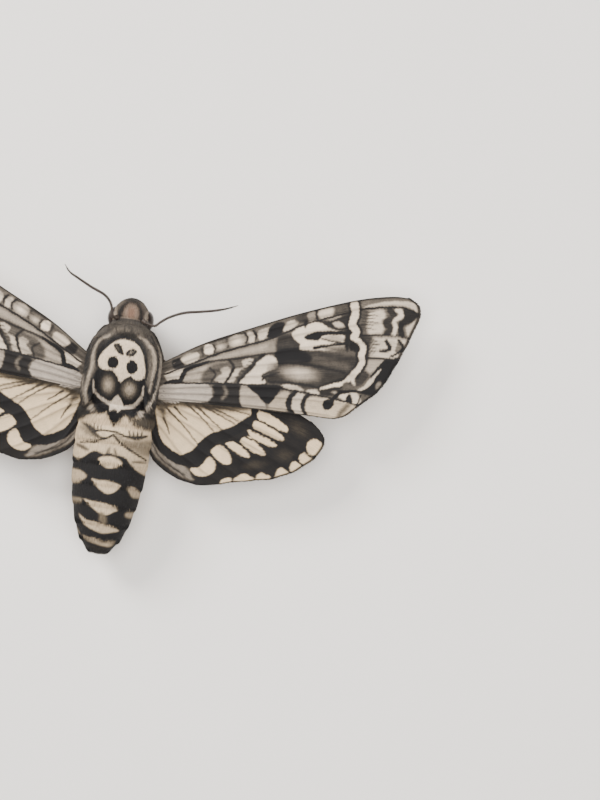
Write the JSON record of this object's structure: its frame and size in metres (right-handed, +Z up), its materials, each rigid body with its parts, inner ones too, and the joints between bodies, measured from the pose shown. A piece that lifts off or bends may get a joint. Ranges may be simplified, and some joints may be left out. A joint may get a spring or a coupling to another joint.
{
  "type": "deaths head hawkmoth",
  "caption": "Life-size death's head hawkmoth standing on six folded legs, wings spread flat and bowed down to the tips, feelers out.",
  "frame": {"origin": "on the floor under the middle of the moth's bounding box", "axes": "+Z up, +Y the way the head points, +X towards the moth's right wings"},
  "size_m": [0.122, 0.064, 0.018],
  "materials": {
    "thorax_pile": "dense near-black pile with a pale skull-shaped mark",
    "head_pile": "short grey-brown pile with a russet crown",
    "abdomen_pile": "close pile, pale buff banded with black",
    "forewing_scales": "matt scaled membrane, charcoal marbled with cream",
    "hindwing_scales": "matt scaled membrane, buff with black bands",
    "eye_facets": "glossy dark brown, finely faceted",
    "antenna_shaft": "dark brown ringed shaft",
    "leg_scales": "dark scaled legs with pale rings",
    "proboscis_skin": "smooth dark brown"
  },
  "bodies": {
    "root": {"thorax": "thorax_pile", "collar": "thorax_pile", "tegula_left": "thorax_pile", "tegula_right": "thorax_pile", "head": "head_pile", "eye_left": "eye_facets", "eye_right": "eye_facets", "palp_left": "head_pile", "palp_right": "head_pile", "proboscis": "proboscis_skin", "antenna_left": "antenna_shaft", "antenna_right": "antenna_shaft", "abdomen": "abdomen_pile", "forewing_left": "forewing_scales", "forewing_right": "forewing_scales", "hindwing_left": "hindwing_scales", "hindwing_right": "hindwing_scales", "fore_leg_left": "leg_scales", "fore_leg_right": "leg_scales", "mid_leg_left": "leg_scales", "mid_leg_right": "leg_scales", "hind_leg_left": "leg_scales", "hind_leg_right": "leg_scales"}
  },
  "joints": []
}
